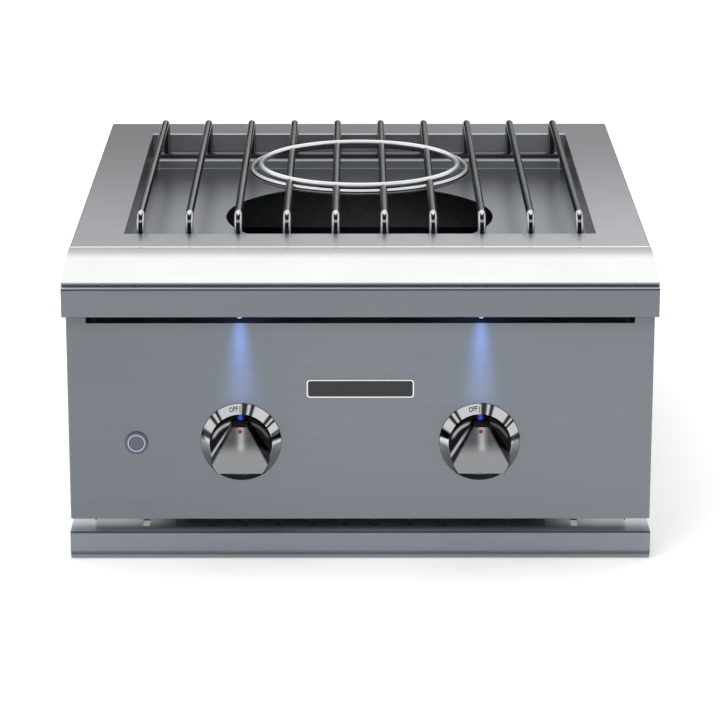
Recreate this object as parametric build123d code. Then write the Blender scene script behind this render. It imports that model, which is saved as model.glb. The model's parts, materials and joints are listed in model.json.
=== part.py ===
from build123d import *
import math
import os

# Drop-in power burner for an outdoor kitchen, in millimetres.
# While modelling, X runs right, Y runs back from the control panel's front face, Z runs up.

# Sheet steel and clearances
SHEET = 1.5
RUN_GAP = 0.3
FIT_GAP = 0.05
FLANGE = 15.0
FOLD_R = 2.0

# Top deck and its recess
DECK_WIDTH = 565.0
DECK_TOP = 288.0
SEAM_Y = 88.8
OPENING_FRONT = 143.5
OPENING_DEPTH = 465.0
SIDE_MARGIN = 50.0
REAR_MARGIN = 55.9
RECESS_DEPTH = 27.0
RECESS_EDGE_R = 1.2
SKIRT_DEPTH = 20.8
SKIRT_RETURN = 10.0
SKIRT_RELIEF = 6.0

# Polished front nose and the fascia strip below it
NOSE_FRONT = 10.0
NOSE_BEND_R = 330.0
NOSE_SLOPE_DEG = 6.8
NOSE_SLOPE = 51.5
NOSE_EDGE_R = 2.0
FASCIA_HEIGHT = 33.4
FASCIA_EDGE_R = 3.5
SHADOW_GAP = 3.4
SHADOW_DEPTH = 6.0

# Control panel
PANEL_INSET = 3.0
PANEL_BOTTOM = 40.3
PANEL_TOP_GAP = 2.0
PANEL_RETURN = 22.0
SLOT_INSET = 19.0
SLOT_DROP = 6.1

# Case
CASE_INSET = 21.5
REAR_OVERHANG = 24.4
PARTITION_GAP = 6.2
RAIL_HEIGHT = 31.0
RAIL_WIDTH = 24.0
RAIL_FRONT = 50.0
RUNNER_TOP = 22.5
VENT_LENGTH = 40.0
VENT_WIDTH = 6.0
VENT_PITCH = 52.0
VENT_ROW_PITCH = 18.0
VENTS_PER_ROW = 7
VENT_DROP = 65.0

# Burner pan and burner box
PAN_RIM = 10.0
LEDGE_ENDS = 9.0
LEDGE_SIDES = 3.0
PAN_DEPTH = 11.4
PAN_CORNER_R = 6.0
BURNER_HOLE_R = 141.5
BOX_SIZE = 380.0
BOX_DEPTH = 58.0
BOX_FLANGE = 12.0
BOX_HOLE_R = 105.0

# Burner
RING_DROP = 21.0
RING_HEIGHT = 29.0
RING_WIDTH = 20.0
RING_CHAMFER_H = 8.0
RING_CHAMFER_W = 6.0
OUTER_RING_R = 65.0
INNER_RING_R = 25.0
OUTER_PORTS = 28
INNER_PORTS = 12
PORT_WIDTH = 2.2
PORT_DEPTH = 3.0
BAR_WIDTH = 16.0
BAR_SHEET = 3.0
BAR_FOOT = 14.0

# Mixing tubes, air shutters and orifices
TUBE_R = 12.0
TUBE_WALL = 1.2
TUBE_BEND = 24.0
TUBE_FRONT = 66.0
SHUTTER_LENGTH = 22.0
SHUTTER_WALL = 1.4
AIR_WINDOW = 11.0
SPUD_R = 5.2
SPUD_TIP = 74.0

# Valves, manifold and gas inlet
KNOB_X = 114.3
KNOB_Z = 118.3
VALVE_FRONT = 14.0
VALVE_REAR = 62.0
VALVE_R = 13.0
VALVE_BOSS_R = 7.5
STEM_R = 4.0
STEM_DEPTH = 22.0
STEM_FLAT = 1.2
STEM_COLLAR_R = 6.5
STEM_COLLAR = 2.0
PIPE_R = 9.0
PIPE_WALL = 1.6
PIPE_BEND = 30.0
PIPE_Y = 40.0
PIPE_DROP = 30.0
PIPE_LEFT = -150.0
PIPE_SIDE_GAP = 24.5
PLUG_R = 11.5
PLUG_LENGTH = 9.0
BRACKET_WIDTH = 30.0
BRACKET_LEG = 22.0
INLET_R = 9.5
INLET_REACH = 20.0
INLET_NUT_R = 14.0
INLET_NUT = 6.0

# Knobs and bezels
BEZEL_R = 38.8
BEZEL_LIP_R = 30.4
BEZEL_BORE_R = 29.7
BEZEL_DEPTH = 8.6
BEZEL_FLOOR = 2.0
BEZEL_HOLE_R = 9.0
KNOB_R = 29.2
KNOB_BACK = 6.5
KNOB_DISC = 5.5
PUSH_TRAVEL = 4.0
GRIP_TOP = 22.0
GRIP_BOTTOM = -19.0
GRIP_TOP_HALF = 5.5
GRIP_WIDE_HALF = 27.0
GRIP_WIDE_Z = -12.3
GRIP_TOP_REACH = 28.0
GRIP_BEVEL = 0.8
KNOB_REACH = 40.0
GRIP_DRAFT = 8.0
STEM_REACH = 15.7
MARKER_R = 2.0
MARKER_DEPTH = 1.0
MARKER_BELOW_TOP = 3.0

# Push button
SWITCH_INSET = 64.9
SWITCH_Z = 117.3
SWITCH_HEAD_R = 11.0
SWITCH_HEAD = 2.2
SWITCH_BARREL_R = 9.5
SWITCH_LENGTH = 24.0
SWITCH_NUT_R = 13.0
SWITCH_NUT = 4.0
CAP_R = 6.9
CAP_LENGTH = 6.0
CAP_RECESS = 0.3
CAP_TRAVEL = 1.5
LIGHT_RING_IN = 7.4
LIGHT_RING_OUT = 8.6
LIGHT_RING_DEPTH = 1.0

# Lamps under the fascia
LAMP_Y = -4.2
LENS_R = 2.5
LENS_DROP = 1.4
STRIP_LENGTH = 270.0
STRIP_WIDTH = 7.0
STRIP_THICK = 1.6

# Igniter, power inlet and fasteners
ELECTRODE_R = 3.0
ELECTRODE_TIP_R = 1.2
ELECTRODE_LENGTH = 32.0
ELECTRODE_COLLAR_R = 5.0
ELECTRODE_OFFSET = 86.0
IGNITER_STRAP = 14.0
MODULE_WIDTH = 56.0
MODULE_DEPTH = 30.0
MODULE_HEIGHT = 36.0
MODULE_Z = 174.0
INLET_JACK_INSET = 56.5
INLET_JACK_Z = 70.0
INLET_JACK_R = 6.0
INLET_JACK_FLANGE_R = 9.0
SCREW_R = 2.0
SCREW_HEAD_R = 4.0
SCREW_HEAD = 2.2
BEZEL_SCREW_R = 20.0
PANEL_SCREW_PITCH = 80.0
PANEL_SCREWS = 3

# Grate and wok rings
ROD_R = 3.97
ROD_COUNT = 10
ROD_MARGIN = 15.33
ROD_RISE = 15.7
ROD_BEND = 12.0
GRATE_MARGIN = 7.9
CROSS_BAR_GAP = 6.5
WIRE_R = 3.175
INNER_WOK_R = 103.5
WOK_GAP = 9.5
WOK_STEP = 2.4

# Drip tray
TRAY_INSET = 2.5
TRAY_TOP = 28.3
TRAY_FRONT = 4.0
TRAY_FLANGE = 46.0
TRAY_SLOTS = 14
TRAY_SLOT_PITCH = 32.0
TRAY_SLOT_WIDTH = 6.8
TRAY_SLOT_LENGTH = 20.0
TRAY_SLOT_Y = 13.0
BASIN_HALF = 190.0
BASIN_REAR_GAP = 40.0
BASIN_FLOOR = 2.5
WING_GAP = 1.0
LIP_BOTTOM = 1.0
LIP_TOP = 7.0
LIP_STEP = 1.6
LIP_SLOPE = 2.8
LIP_DEPTH = 7.0
LIP_R = 1.5

# Heights and places that follow from the sizes above
NOSE_SIN = math.sin(math.radians(NOSE_SLOPE_DEG))
NOSE_COS = math.cos(math.radians(NOSE_SLOPE_DEG))
NOSE_DROP = NOSE_BEND_R * (1 - NOSE_COS) + NOSE_SLOPE * NOSE_SIN + NOSE_EDGE_R * NOSE_COS
NOSE_RUN = NOSE_BEND_R * NOSE_SIN + NOSE_SLOPE * NOSE_COS + NOSE_EDGE_R * (1 - NOSE_SIN)
FASCIA_TOP = DECK_TOP - NOSE_DROP
FASCIA_BOTTOM = FASCIA_TOP - FASCIA_HEIGHT
PANEL_TOP = FASCIA_BOTTOM - PANEL_TOP_GAP
DECK_UNDER = DECK_TOP - SHEET
LEDGE_Z = DECK_TOP - RECESS_DEPTH
PAN_FLOOR = LEDGE_Z - PAN_DEPTH
PAN_UNDER = PAN_FLOOR - SHEET
BOX_FLOOR = PAN_UNDER - BOX_DEPTH
BOX_UNDER = BOX_FLOOR - SHEET
RING_BOTTOM = BOX_FLOOR - RING_DROP
DECK_HALF = DECK_WIDTH / 2
PANEL_HALF = DECK_HALF - PANEL_INSET
CASE_HALF = PANEL_HALF - CASE_INSET
CASE_INNER = CASE_HALF - SHEET
OPEN_HALF = DECK_HALF - SIDE_MARGIN
OPENING_REAR = OPENING_FRONT + OPENING_DEPTH
OPENING_Y = (OPENING_FRONT + OPENING_REAR) / 2
DECK_REAR = OPENING_REAR + REAR_MARGIN
CASE_REAR = DECK_REAR - REAR_OVERHANG
PARTITION_Y = SEAM_Y + PARTITION_GAP
RAIL_INNER = CASE_HALF - RAIL_WIDTH
BASIN_REAR = CASE_REAR - BASIN_REAR_GAP
CROSS_BAR_Z = LEDGE_Z + RUN_GAP + ROD_R
ROD_Z = DECK_TOP + ROD_RISE
ROD_PITCH = 2 * (OPEN_HALF - ROD_MARGIN) / (ROD_COUNT - 1)
ROD_FRONT = OPENING_FRONT + GRATE_MARGIN
ROD_REAR = OPENING_REAR - GRATE_MARGIN
INNER_WOK_Z = ROD_Z + WOK_STEP
OUTER_WOK_R = INNER_WOK_R + WOK_GAP
OUTER_WOK_Z = ROD_Z - WOK_STEP
SWITCH_X = SWITCH_INSET - PANEL_HALF
PIPE_RIGHT = CASE_INNER - PIPE_SIDE_GAP
PIPE_Z = KNOB_Z - PIPE_DROP
INLET_JACK_X = INLET_JACK_INSET - CASE_INNER
PIVOT_BACK = VALVE_FRONT + STEM_DEPTH
FRAME_SHIFT = (KNOB_REACH - DECK_REAR) / 2
SIDES = {"left": -1, "right": 1}
MIDDLE_RODS = range(ROD_COUNT // 2 - 2, ROD_COUNT // 2 + 2)
SIDE_RODS = [i for i in range(ROD_COUNT) if i not in MIDDLE_RODS]


def block(x0, x1, y0, y1, z0, z1):
    """A box between two opposite corners."""
    place = Pos((x0 + x1) / 2, (y0 + y1) / 2, (z0 + z1) / 2)
    return place * Box(abs(x1 - x0), abs(y1 - y0), abs(z1 - z0))


def slab(half, y0, y1, z0, z1):
    """A box that is centred across the width."""
    return block(-half, half, y0, y1, z0, z1)


def rod_x(y, z, x0, x1, radius):
    """A cylinder along X."""
    return Pos((x0 + x1) / 2, y, z) * Rot(0, 90, 0) * Cylinder(radius, abs(x1 - x0))


def rod_y(x, z, y0, y1, radius):
    """A cylinder along Y."""
    return Pos(x, (y0 + y1) / 2, z) * Rot(90, 0, 0) * Cylinder(radius, abs(y1 - y0))


def rod_z(x, y, z0, z1, radius):
    """A cylinder along Z."""
    return Pos(x, y, (z0 + z1) / 2) * Cylinder(radius, abs(z1 - z0))


def hex_y(x, z, y0, y1, radius):
    """A hexagon bar along Y, with the given corner radius."""
    outline = Plane.XZ.offset(-y0) * RegularPolygon(radius, 6)
    return Pos(x, 0, z) * extrude(outline, -(y1 - y0))


def spin_y(x, z, points):
    """Points given as radius and Y, turned about an axis along Y."""
    return Pos(x, 0, z) * revolve(make_face(Polyline(points, close=True)), Axis.Y)


def spin_z(x, y, points):
    """Points given as radius and Z, turned about an upright axis."""
    outline = Plane.XZ * make_face(Polyline(points, close=True))
    return Pos(x, y, 0) * revolve(outline, Axis.Z)


def mirrored(side, piece):
    """The piece drawn for the right side, or its mirror image for the left."""
    return piece if side > 0 else mirror(piece, Plane.YZ)


def bent_tube(points, bend, radius, wall):
    """A round tube along straight runs with rounded corners."""
    path = FilletPolyline(*points, radius=bend)
    section = Plane(origin=path @ 0, z_dir=path % 0) * (Circle(radius) - Circle(radius - wall))
    return sweep(section, path)


def make_wok_ring(ring_r, z):
    """A closed wire ring that lies level."""
    return Pos(0, OPENING_Y, z) * Torus(ring_r, WIRE_R)


def make_top_deck():
    """Deck plate with folded skirts, and the square recess that holds the grate."""
    half = DECK_HALF
    near = OPENING_FRONT
    far = OPENING_REAR
    bottom = DECK_TOP - SKIRT_DEPTH
    shell = slab(half, SEAM_Y, DECK_REAR, bottom, DECK_TOP)
    shell = fillet(shell.faces().sort_by(Axis.Z)[-1].edges(), FOLD_R)
    shell -= slab(half - SHEET, SEAM_Y + SHEET, DECK_REAR - SHEET, bottom + SHEET, DECK_UNDER)
    mouth = SHEET + SKIRT_RETURN
    shell -= slab(half - mouth, SEAM_Y + SHEET, DECK_REAR - mouth, bottom, bottom + SHEET)
    shell += slab(OPEN_HALF + SHEET, near - SHEET, far + SHEET, LEDGE_Z, DECK_TOP)
    shell += slab(OPEN_HALF + PAN_RIM, near - PAN_RIM, far + PAN_RIM, LEDGE_Z, LEDGE_Z + SHEET)
    shell -= slab(OPEN_HALF, near, far, LEDGE_Z, DECK_TOP)
    return fillet(shell.faces().sort_by(Axis.Z)[-1].inner_wires().edges(), RECESS_EDGE_R)


def nose_face(inset):
    """Side outline of the nose, drawn in by the sheet for its inner face."""
    top = DECK_TOP - inset
    back = SEAM_Y - inset
    start = (NOSE_RUN - NOSE_FRONT, top)
    flat = Line((back, top), start)
    bend = JernArc(start, (-1, 0), NOSE_BEND_R - inset, NOSE_SLOPE_DEG)
    slope = PolarLine(bend @ 1, NOSE_SLOPE, direction=bend % 1)
    edge = JernArc(slope @ 1, slope % 1, NOSE_EDGE_R - inset, 90 - NOSE_SLOPE_DEG)
    foot = Line(edge @ 1, (back, FASCIA_TOP))
    rear = Line((back, FASCIA_TOP), (back, top))
    return Plane.YZ * make_face(Curve() + [flat, bend, slope, edge, foot, rear])


def make_front_nose():
    """Sloped nose in polished sheet, open below."""
    shell = extrude(nose_face(0), DECK_HALF, both=True)
    return shell - extrude(nose_face(SHEET), DECK_HALF - SHEET, both=True)


def fascia_face(inset):
    """Side outline of the fascia, stepped back at the top to leave a shadow line below the nose."""
    front = inset - NOSE_FRONT
    step = front + SHADOW_DEPTH
    rear = PANEL_RETURN
    low = FASCIA_BOTTOM + inset
    top = FASCIA_TOP - inset
    shoulder = top - SHADOW_GAP
    corners = [(front, low), (front, shoulder), (step, shoulder), (step, top), (rear, top), (rear, low)]
    return Plane.YZ * make_face(Polyline(corners, close=True))


def make_fascia():
    """Brushed strip below the nose, with holes for the two lamps in its lower return."""
    strip = extrude(fascia_face(0), DECK_HALF, both=True)
    front = strip.faces().sort_by(Axis.Y)[0].edges().filter_by(Axis.X).sort_by(Axis.Z)
    strip = fillet(front[0], FOLD_R)
    front = strip.faces().sort_by(Axis.Y)[0].edges().filter_by(Axis.X).sort_by(Axis.Z)
    strip = fillet(front[-1], FASCIA_EDGE_R)
    strip -= extrude(fascia_face(SHEET), DECK_HALF - SHEET, both=True)
    for side in SIDES.values():
        strip -= rod_z(side * KNOB_X, LAMP_Y, FASCIA_BOTTOM, FASCIA_BOTTOM + SHEET, LENS_R + FIT_GAP)
    return strip


def panel_screw_heights():
    """Heights of the screws that hold the control panel to the case."""
    middle = (PANEL_BOTTOM + PANEL_TOP) / 2
    first = middle - PANEL_SCREW_PITCH * (PANEL_SCREWS - 1) / 2
    return [first + PANEL_SCREW_PITCH * i for i in range(PANEL_SCREWS)]


def panel_screw_x():
    """Distance of those screws from the middle."""
    return (CASE_HALF + PANEL_HALF - SHEET) / 2


def bezel_screw_places():
    """Screw places behind each bezel, as X and Z."""
    offsets = (-BEZEL_SCREW_R, BEZEL_SCREW_R)
    return [(side * KNOB_X + dx, KNOB_Z) for side in SIDES.values() for dx in offsets]


def make_control_panel():
    """Folded front panel, cut lower in the middle so that a slot is left below the fascia."""
    half = PANEL_HALF
    panel = slab(half, 0, PANEL_RETURN, PANEL_BOTTOM, PANEL_TOP)
    upright = panel.edges().filter_by(Axis.Z).group_by(Axis.Y)[0]
    panel = fillet(upright, FOLD_R)
    panel -= slab(half - SHEET, SHEET, PANEL_RETURN - SHEET, PANEL_BOTTOM + SHEET, PANEL_TOP)
    panel -= slab(CASE_HALF, PANEL_RETURN - SHEET, PANEL_RETURN, PANEL_BOTTOM + SHEET, PANEL_TOP)
    panel -= slab(half - SLOT_INSET, 0, SHEET, PANEL_TOP - SLOT_DROP, PANEL_TOP)
    panel -= rod_y(SWITCH_X, SWITCH_Z, 0, SHEET, SWITCH_BARREL_R + FIT_GAP)
    for side in SIDES.values():
        panel -= rod_y(side * KNOB_X, KNOB_Z, 0, SHEET, BEZEL_HOLE_R)
        for z in panel_screw_heights():
            x = side * panel_screw_x()
            panel -= rod_y(x, z, PANEL_RETURN - SHEET, PANEL_RETURN, SCREW_R + FIT_GAP)
    for x, z in bezel_screw_places():
        panel -= rod_y(x, z, 0, SHEET, SCREW_R + FIT_GAP)
    return panel


def make_side_panel(side):
    """Side of the case, with a front flange for the control panel and folds above and below."""
    outer = PANEL_HALF - SHEET
    rear = CASE_REAR - SHEET
    relief = DECK_TOP - SKIRT_DEPTH - SKIRT_RELIEF
    wall = block(CASE_INNER, CASE_HALF, PANEL_RETURN, rear, RAIL_HEIGHT, relief)
    wall += block(CASE_INNER, CASE_HALF, PANEL_RETURN, SEAM_Y, relief, FASCIA_TOP)
    wall += block(CASE_INNER, CASE_HALF, SEAM_Y + SHEET, rear, relief, DECK_UNDER)
    fold = CASE_INNER - FLANGE
    wall += block(fold, CASE_INNER, PARTITION_Y + SHEET, rear, DECK_UNDER - SHEET, DECK_UNDER)
    wall += block(fold, CASE_INNER, RAIL_FRONT, rear, RAIL_HEIGHT, RAIL_HEIGHT + SHEET)
    low = PANEL_BOTTOM + SHEET
    wall += block(CASE_HALF, outer, PANEL_RETURN, PANEL_RETURN + SHEET, low, PANEL_TOP)
    for z in panel_screw_heights():
        wall -= rod_y(panel_screw_x(), z, PANEL_RETURN, PANEL_RETURN + SHEET, SCREW_R + FIT_GAP)
    return mirrored(side, wall)


def make_rear_panel():
    """Back of the case, with two rows of vents and holes for gas and power."""
    front = CASE_REAR - SHEET
    wall = slab(CASE_HALF, front, CASE_REAR, RAIL_HEIGHT, DECK_UNDER)
    fold = CASE_INNER - FLANGE
    wall += slab(fold, front - FLANGE, front, DECK_UNDER - SHEET, DECK_UNDER)
    for row in range(2):
        z = DECK_TOP - VENT_DROP - VENT_ROW_PITCH * row
        for i in range(VENTS_PER_ROW):
            x = VENT_PITCH * (i - (VENTS_PER_ROW - 1) / 2)
            slot = Plane.XZ.offset(-front) * SlotOverall(VENT_LENGTH, VENT_WIDTH)
            wall -= Pos(x, 0, z) * extrude(slot, -SHEET)
    wall -= rod_y(PIPE_RIGHT, PIPE_Z, front, CASE_REAR, INLET_R + FIT_GAP)
    return wall - rod_y(INLET_JACK_X, INLET_JACK_Z, front, CASE_REAR, INLET_JACK_R + FIT_GAP)


def make_front_partition():
    """Wall between the valves and the hot burner box."""
    back = PARTITION_Y + SHEET
    fold = CASE_INNER - FLANGE
    wall = slab(CASE_INNER, PARTITION_Y, back, RAIL_HEIGHT + SHEET, DECK_UNDER)
    wall += slab(fold, back, back + FLANGE, DECK_UNDER - SHEET, DECK_UNDER)
    for side in SIDES.values():
        wall -= rod_y(side * KNOB_X, KNOB_Z, PARTITION_Y, back, TUBE_R + RUN_GAP)
    return wall - rod_y(PIPE_RIGHT, PIPE_Z, PARTITION_Y, back, PIPE_R + RUN_GAP)


def make_base_rail(side):
    """Folded rail that the case stands on, with a runner for the drip tray."""
    rail = block(CASE_INNER, CASE_HALF, RAIL_FRONT, CASE_REAR, 0, RAIL_HEIGHT)
    for top in (SHEET, RUNNER_TOP, RAIL_HEIGHT):
        rail += block(RAIL_INNER, CASE_INNER, RAIL_FRONT, CASE_REAR, top - SHEET, top)
    return mirrored(side, rail)


def make_burner_pan():
    """Shallow pan below the deck: rim, ledge for the grate, and a floor with the burner hole."""
    half = OPEN_HALF - LEDGE_SIDES
    near = OPENING_FRONT + LEDGE_ENDS
    far = OPENING_REAR - LEDGE_ENDS
    outer = slab(half + SHEET, near - SHEET, far + SHEET, PAN_UNDER, LEDGE_Z)
    outer = fillet(outer.edges().filter_by(Axis.Z), PAN_CORNER_R + SHEET)
    rim = slab(OPEN_HALF + PAN_RIM, OPENING_FRONT - PAN_RIM, OPENING_REAR + PAN_RIM, LEDGE_Z - SHEET, LEDGE_Z)
    hollow = slab(half, near, far, PAN_FLOOR, LEDGE_Z)
    hollow = fillet(hollow.edges().filter_by(Axis.Z), PAN_CORNER_R)
    return outer + rim - hollow - rod_z(0, OPENING_Y, PAN_UNDER, PAN_FLOOR, BURNER_HOLE_R)


def make_burner_box():
    """Square well below the pan, with flanges under the pan floor and a round hole for the burner."""
    half = BOX_SIZE / 2
    near = OPENING_Y - half
    far = OPENING_Y + half
    box = slab(half, near, far, BOX_UNDER, PAN_UNDER)
    edge = half + BOX_FLANGE
    box += slab(edge, OPENING_Y - edge, OPENING_Y + edge, PAN_UNDER - SHEET, PAN_UNDER)
    box -= slab(half - SHEET, near + SHEET, far - SHEET, BOX_FLOOR, PAN_UNDER)
    return box - rod_z(0, OPENING_Y, BOX_UNDER, BOX_FLOOR, BOX_HOLE_R)


def make_burner_ring(mean_r, ports):
    """Cast burner ring with sloped shoulders and flame ports cut across its crown."""
    inner = mean_r - RING_WIDTH / 2
    outer = mean_r + RING_WIDTH / 2
    top = RING_BOTTOM + RING_HEIGHT
    shoulder = top - RING_CHAMFER_H
    ring = spin_z(0, OPENING_Y, [
        (inner, RING_BOTTOM), (outer, RING_BOTTOM), (outer, shoulder), (outer - RING_CHAMFER_W, top),
        (inner + RING_CHAMFER_W, top), (inner, shoulder)])
    for i in range(ports):
        cut = block(mean_r, outer, -PORT_WIDTH / 2, PORT_WIDTH / 2, top - PORT_DEPTH, top)
        ring -= Pos(0, OPENING_Y, 0) * Rot(0, 0, 360 * (i + 0.5) / ports) * cut
    return ring


def make_burner_support():
    """Bridge bar that hangs from the burner box and carries both rings."""
    half = BAR_WIDTH / 2
    reach = BOX_HOLE_R + BAR_FOOT / 2
    bar = slab(half, OPENING_Y - reach, OPENING_Y + reach, RING_BOTTOM - BAR_SHEET, RING_BOTTOM)
    for end in (-1, 1):
        leg = OPENING_Y + end * reach
        foot = leg + end * BAR_FOOT
        bar += slab(half, leg - end * BAR_SHEET, leg, RING_BOTTOM - BAR_SHEET, BOX_UNDER)
        bar += slab(half, leg - end * BAR_SHEET, foot, BOX_UNDER - BAR_SHEET, BOX_UNDER)
    return bar


def make_mixing_tube(side, ring_x):
    """Tube that carries gas and air from a valve back to its burner ring."""
    x = side * KNOB_X
    route = [(x, TUBE_FRONT, KNOB_Z), (x, OPENING_Y, KNOB_Z), (ring_x, OPENING_Y, KNOB_Z),
             (ring_x, OPENING_Y, RING_BOTTOM)]
    tube = bent_tube(route, TUBE_BEND, TUBE_R, TUBE_WALL)
    tube += rod_y(x, KNOB_Z, TUBE_FRONT, TUBE_FRONT + SHEET, TUBE_R)
    tube -= rod_y(x, KNOB_Z, TUBE_FRONT, TUBE_FRONT + SHEET, SPUD_R + FIT_GAP)
    return tube - air_window(x)


def shutter_front():
    """Front end of the air shutter, just behind the mouth of its tube."""
    return TUBE_FRONT + SHEET


def air_window(x):
    """Air opening through both sides of a tube and its shutter."""
    middle = shutter_front() + SHUTTER_LENGTH / 2
    reach = TUBE_R + SHUTTER_WALL + RUN_GAP
    window = block(x - reach, x + reach, middle - AIR_WINDOW / 2, middle + AIR_WINDOW / 2,
                   KNOB_Z - AIR_WINDOW / 2, KNOB_Z + AIR_WINDOW / 2)
    return window


def make_air_shutter(side):
    """Turning sleeve on a tube, whose windows open or close the air inlet."""
    x = side * KNOB_X
    front = shutter_front()
    back = front + SHUTTER_LENGTH
    bore = TUBE_R + FIT_GAP
    sleeve = rod_y(x, KNOB_Z, front, back, bore + SHUTTER_WALL) - rod_y(x, KNOB_Z, front, back, bore)
    return sleeve - air_window(x)


def make_orifice(side):
    """Brass jet behind a valve, which pokes into the mouth of its tube."""
    x = side * KNOB_X
    hex_end = TUBE_FRONT - RUN_GAP
    jet = rod_y(x, KNOB_Z, VALVE_REAR, SPUD_TIP, SPUD_R)
    jet += hex_y(x, KNOB_Z, VALVE_REAR, hex_end, SPUD_R + SHEET)
    return jet - rod_y(x, KNOB_Z, VALVE_REAR, SPUD_TIP, PORT_WIDTH / 2)


def make_valve_body(side):
    """Brass gas valve that sits on the manifold pipe."""
    x = side * KNOB_X
    shoulder = VALVE_R - SHEET
    body = spin_y(x, KNOB_Z, [
        (0, VALVE_FRONT), (shoulder, VALVE_FRONT), (VALVE_R, VALVE_FRONT + SHEET),
        (VALVE_R, PIPE_Y + VALVE_BOSS_R), (shoulder, PIPE_Y + VALVE_BOSS_R + SHEET),
        (shoulder, VALVE_REAR), (0, VALVE_REAR)])
    body += rod_z(x, PIPE_Y, PIPE_Z + PIPE_R / 2, KNOB_Z, VALVE_BOSS_R)
    span = 2 * VALVE_R
    body -= rod_x(PIPE_Y, PIPE_Z, x - span, x + span, PIPE_R + FIT_GAP)
    return body - rod_y(x, KNOB_Z, VALVE_FRONT, PIVOT_BACK, STEM_R + FIT_GAP)


def make_valve_stem(side):
    """Turning stem of a valve, flatted at the front where the knob slides on it."""
    x = side * KNOB_X
    stem = rod_y(x, KNOB_Z, -STEM_REACH, PIVOT_BACK - RUN_GAP, STEM_R)
    collar_back = VALVE_FRONT - RUN_GAP
    stem += rod_y(x, KNOB_Z, collar_back - STEM_COLLAR, collar_back, STEM_COLLAR_R)
    return stem - stem_flat(x, 0)


def stem_flat(x, gap):
    """Block beyond the flat on the stem, or on the bore of the knob."""
    level = KNOB_Z + STEM_R - STEM_FLAT + gap
    return block(x - 2 * STEM_R, x + 2 * STEM_R, -KNOB_REACH, 0, level, level + 2 * STEM_R)


def make_gas_manifold():
    """Bent pipe from the gas inlet to the two valves."""
    route = [(PIPE_LEFT, PIPE_Y, PIPE_Z), (PIPE_RIGHT, PIPE_Y, PIPE_Z), (PIPE_RIGHT, inlet_joint(), PIPE_Z)]
    return bent_tube(route, PIPE_BEND, PIPE_R, PIPE_WALL)


def inlet_joint():
    """Where the manifold pipe ends and the inlet fitting starts."""
    return CASE_REAR - SHEET - FLANGE


def make_manifold_plug():
    """Hexagon plug on the closed end of the manifold."""
    bar = Plane.YZ.offset(PIPE_LEFT) * Pos(PIPE_Y, PIPE_Z) * RegularPolygon(PLUG_R, 6)
    return extrude(bar, -PLUG_LENGTH)


def make_manifold_bracket():
    """Angle that holds the middle of the manifold off the partition."""
    half = BRACKET_WIDTH / 2
    seat = PIPE_Z - PIPE_R - RUN_GAP
    front = PIPE_Y - PIPE_R
    shelf = slab(half, front, PARTITION_Y, seat - SHEET, seat)
    return shelf + slab(half, PARTITION_Y - SHEET, PARTITION_Y, seat - SHEET, seat + BRACKET_LEG)


def make_gas_inlet_fitting():
    """Threaded gas connection through the back of the case, with its lock nut."""
    joint = inlet_joint()
    inner = CASE_REAR - SHEET
    fitting = hex_y(PIPE_RIGHT, PIPE_Z, joint, inner, INLET_NUT_R)
    fitting += rod_y(PIPE_RIGHT, PIPE_Z, inner, CASE_REAR + INLET_REACH, INLET_R)
    fitting += hex_y(PIPE_RIGHT, PIPE_Z, CASE_REAR, CASE_REAR + INLET_NUT, INLET_NUT_R)
    return fitting - rod_y(PIPE_RIGHT, PIPE_Z, joint, CASE_REAR + INLET_REACH, PIPE_R - PIPE_WALL)


def make_bezel(side):
    """Polished cone round a knob, with a flat floor that the valve stem passes through."""
    cone = spin_y(side * KNOB_X, KNOB_Z, [
        (BEZEL_HOLE_R, 0), (BEZEL_R, 0), (BEZEL_LIP_R, -BEZEL_DEPTH), (BEZEL_BORE_R, -BEZEL_DEPTH),
        (BEZEL_BORE_R, -BEZEL_FLOOR), (BEZEL_HOLE_R, -BEZEL_FLOOR)])
    for x, z in bezel_screw_places():
        cone -= rod_y(x, z, SHEET - BEZEL_FLOOR, 0, SCREW_R + FIT_GAP)
    return cone


def grip_plane():
    """Sloped front face of a knob's grip, at the middle of its top edge."""
    slope = (KNOB_REACH - GRIP_TOP_REACH) / (GRIP_TOP - GRIP_BOTTOM)
    return Plane(origin=(0, -GRIP_TOP_REACH, GRIP_TOP), x_dir=(1, 0, 0), z_dir=(0, -1, slope))


def make_knob_grip():
    """Wedge-shaped grip, cut from a drafted prism by the knob's round side and its sloped face."""
    flare = (GRIP_WIDE_HALF - GRIP_TOP_HALF) / (GRIP_TOP - GRIP_WIDE_Z)
    low_half = GRIP_WIDE_HALF + flare * (GRIP_WIDE_Z - GRIP_BOTTOM)
    corners = [(-GRIP_TOP_HALF, GRIP_TOP), (GRIP_TOP_HALF, GRIP_TOP),
               (low_half, GRIP_BOTTOM), (-low_half, GRIP_BOTTOM)]
    tip = Plane.XZ.offset(KNOB_REACH) * make_face(Polyline(corners, close=True))
    wedge = extrude(tip, -(KNOB_REACH - KNOB_BACK), taper=-GRIP_DRAFT)
    wedge &= rod_y(0, 0, -KNOB_REACH, -KNOB_BACK, KNOB_R)
    grip = split(wedge, bisect_by=grip_plane(), keep=Keep.BOTTOM)
    face = grip.faces().sort_by(Axis((0, 0, 0), grip_plane().z_dir))[-1]
    return chamfer(face.edges().sort_by(Axis.Z)[1:], GRIP_BEVEL)


def marker_place():
    """Centre of the red marker, on the sloped face."""
    return grip_plane() * Pos(0, -MARKER_BELOW_TOP, 0)


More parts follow.
